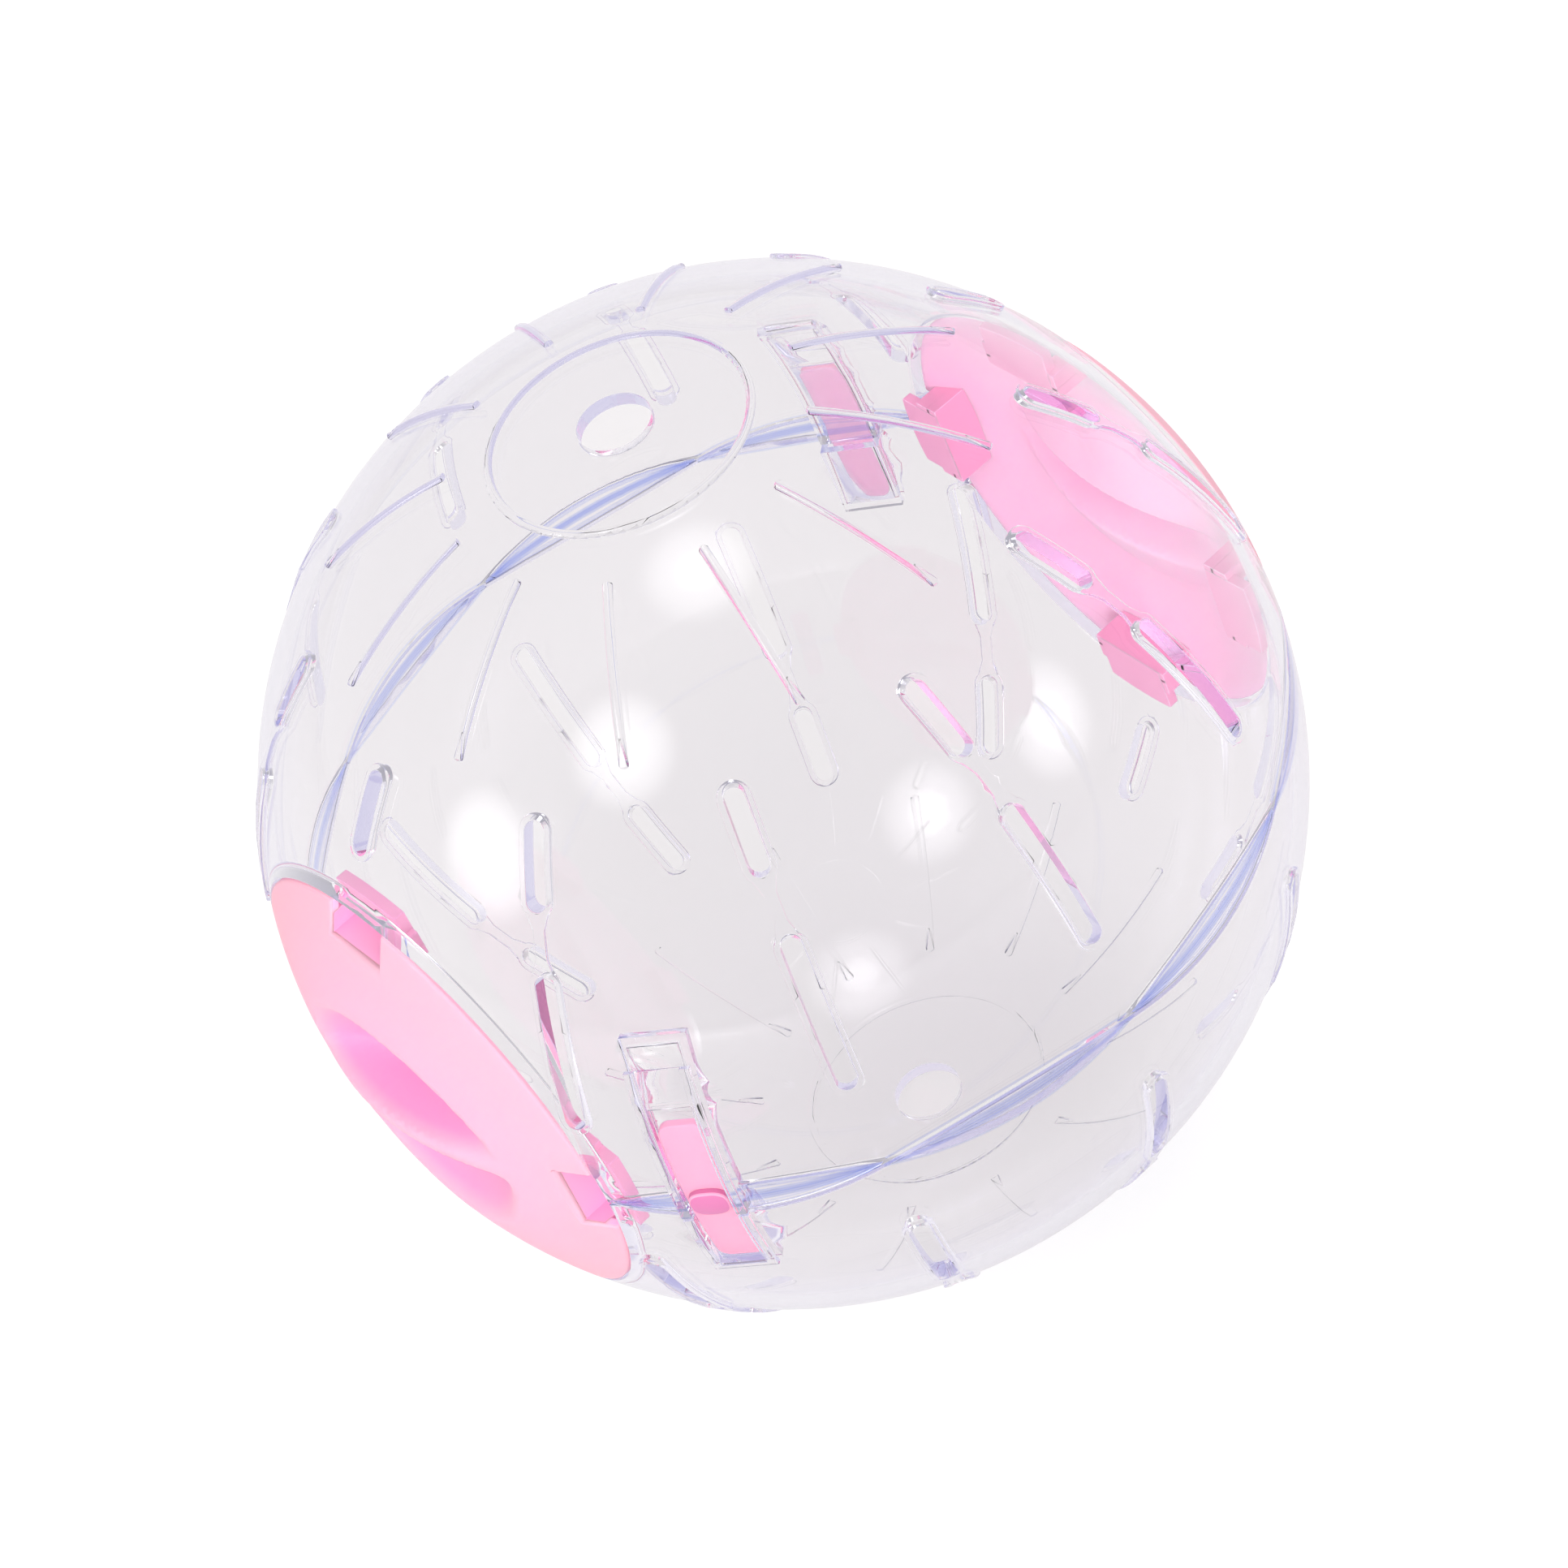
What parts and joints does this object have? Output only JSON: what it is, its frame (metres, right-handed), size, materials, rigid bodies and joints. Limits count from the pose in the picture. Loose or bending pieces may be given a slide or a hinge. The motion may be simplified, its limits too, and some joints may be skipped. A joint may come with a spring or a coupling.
{
  "type": "hamster exercise ball",
  "caption": "Clear hollow ball in two lapped half shells with vent slots and ribs, round domed twist doors on two sides, and sliding latches across the seam.",
  "frame": {"origin": "centre of the ball", "axes": "+Z from the centre out through the upper pole hole, across the seam plane; +X out through the middle of the left door; the seam lies in the XY plane"},
  "size_m": [0.14, 0.14, 0.1396],
  "materials": {
    "clear_shell": "clear polished polystyrene with a faint violet-blue tint that gathers at its edges",
    "door_pink": "light pink moulded plastic, slightly translucent, with a soft satin gloss",
    "latch_pink": "pink moulded plastic, slightly translucent, glossy"
  },
  "bodies": {
    "lower": {"lower_shell": "clear_shell"},
    "upper": {"upper_shell": "clear_shell"},
    "left_door": {"door_left": "door_pink"},
    "right_door": {"door_right": "door_pink"},
    "front_latch": {"latch_front": "latch_pink"},
    "back_latch": {"latch_back": "latch_pink"}
  },
  "joints": [
    {"name": "upper_shell_lift", "type": "slide", "parent": "lower", "child": "upper", "axis": [0, 0, 1], "range_m": [0, 0.08]},
    {"name": "door_left_turn", "type": "hinge", "parent": "lower", "child": "left_door", "pos_m": [0.06, 0, 0], "axis": [1, 0, 0], "range_deg": [0, 25]},
    {"name": "door_right_turn", "type": "hinge", "parent": "lower", "child": "right_door", "pos_m": [-0.06, 0, 0], "axis": [-1, 0, 0], "range_deg": [0, 25]},
    {"name": "latch_front_slide", "type": "hinge", "parent": "upper", "child": "front_latch", "pos_m": [0, 0, 0], "axis": [0.6561, -0.7547, 0], "range_deg": [0, 9.8]},
    {"name": "latch_back_slide", "type": "hinge", "parent": "upper", "child": "back_latch", "pos_m": [0, 0, 0], "axis": [-0.6561, 0.7547, 0], "range_deg": [0, 9.8]}
  ]
}
